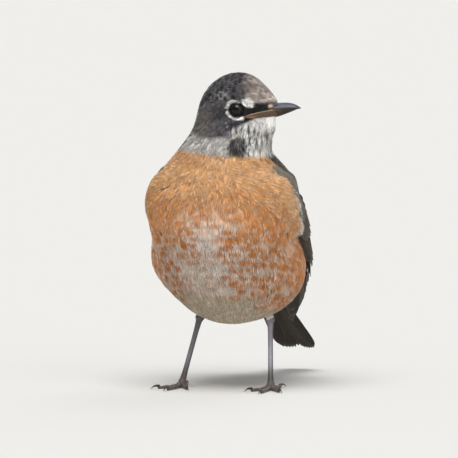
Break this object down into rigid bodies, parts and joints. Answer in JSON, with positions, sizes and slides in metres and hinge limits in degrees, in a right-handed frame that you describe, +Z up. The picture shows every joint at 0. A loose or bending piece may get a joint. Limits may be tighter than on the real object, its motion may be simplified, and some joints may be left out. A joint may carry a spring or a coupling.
{
  "type": "american robin",
  "caption": "Life-size standing american robin at rest, head turned to its left: grey head, orange breast, folded wings and tail, slender legs and feet.",
  "frame": {"origin": "floor level, under the centre of the bounding box", "axes": "+Z up, the breast faces -Y, the bird's own left side is towards +X"},
  "size_m": [0.081, 0.1488, 0.1594],
  "materials": {
    "head_feathers": "soft feather",
    "body_feathers": "soft feather",
    "vent_feathers": "soft feather",
    "covert_feathers": "feather",
    "flight_feathers": "feather",
    "eye": "wet gloss",
    "upper_bill": "satin horn",
    "lower_bill": "satin horn",
    "leg_skin": "satin scaly skin",
    "claw": "satin horn"
  },
  "bodies": {
    "root": {"bill_lower": "lower_bill", "bill_upper": "upper_bill", "claw_left_1": "claw", "claw_left_2": "claw", "claw_left_3": "claw", "claw_left_4": "claw", "claw_right_1": "claw", "claw_right_2": "claw", "claw_right_3": "claw", "claw_right_4": "claw", "eye_left": "eye", "eye_right": "eye", "foot_left": "leg_skin", "foot_right": "leg_skin", "head": "head_feathers", "neck": "head_feathers", "tail_coverts": "vent_feathers", "tail_left": "flight_feathers", "tail_middle": "flight_feathers", "tail_right": "flight_feathers", "tarsus_left": "leg_skin", "tarsus_right": "leg_skin", "thigh_left": "vent_feathers", "thigh_right": "vent_feathers", "toe_left_1": "leg_skin", "toe_left_2": "leg_skin", "toe_left_3": "leg_skin", "toe_left_4": "leg_skin", "toe_right_1": "leg_skin", "toe_right_2": "leg_skin", "toe_right_3": "leg_skin", "toe_right_4": "leg_skin", "trunk": "body_feathers", "wing_left_coverts": "covert_feathers", "wing_left_primaries": "flight_feathers", "wing_left_secondaries": "flight_feathers", "wing_left_tertials": "flight_feathers", "wing_right_coverts": "covert_feathers", "wing_right_primaries": "flight_feathers", "wing_right_secondaries": "flight_feathers", "wing_right_tertials": "flight_feathers"}
  },
  "joints": []
}
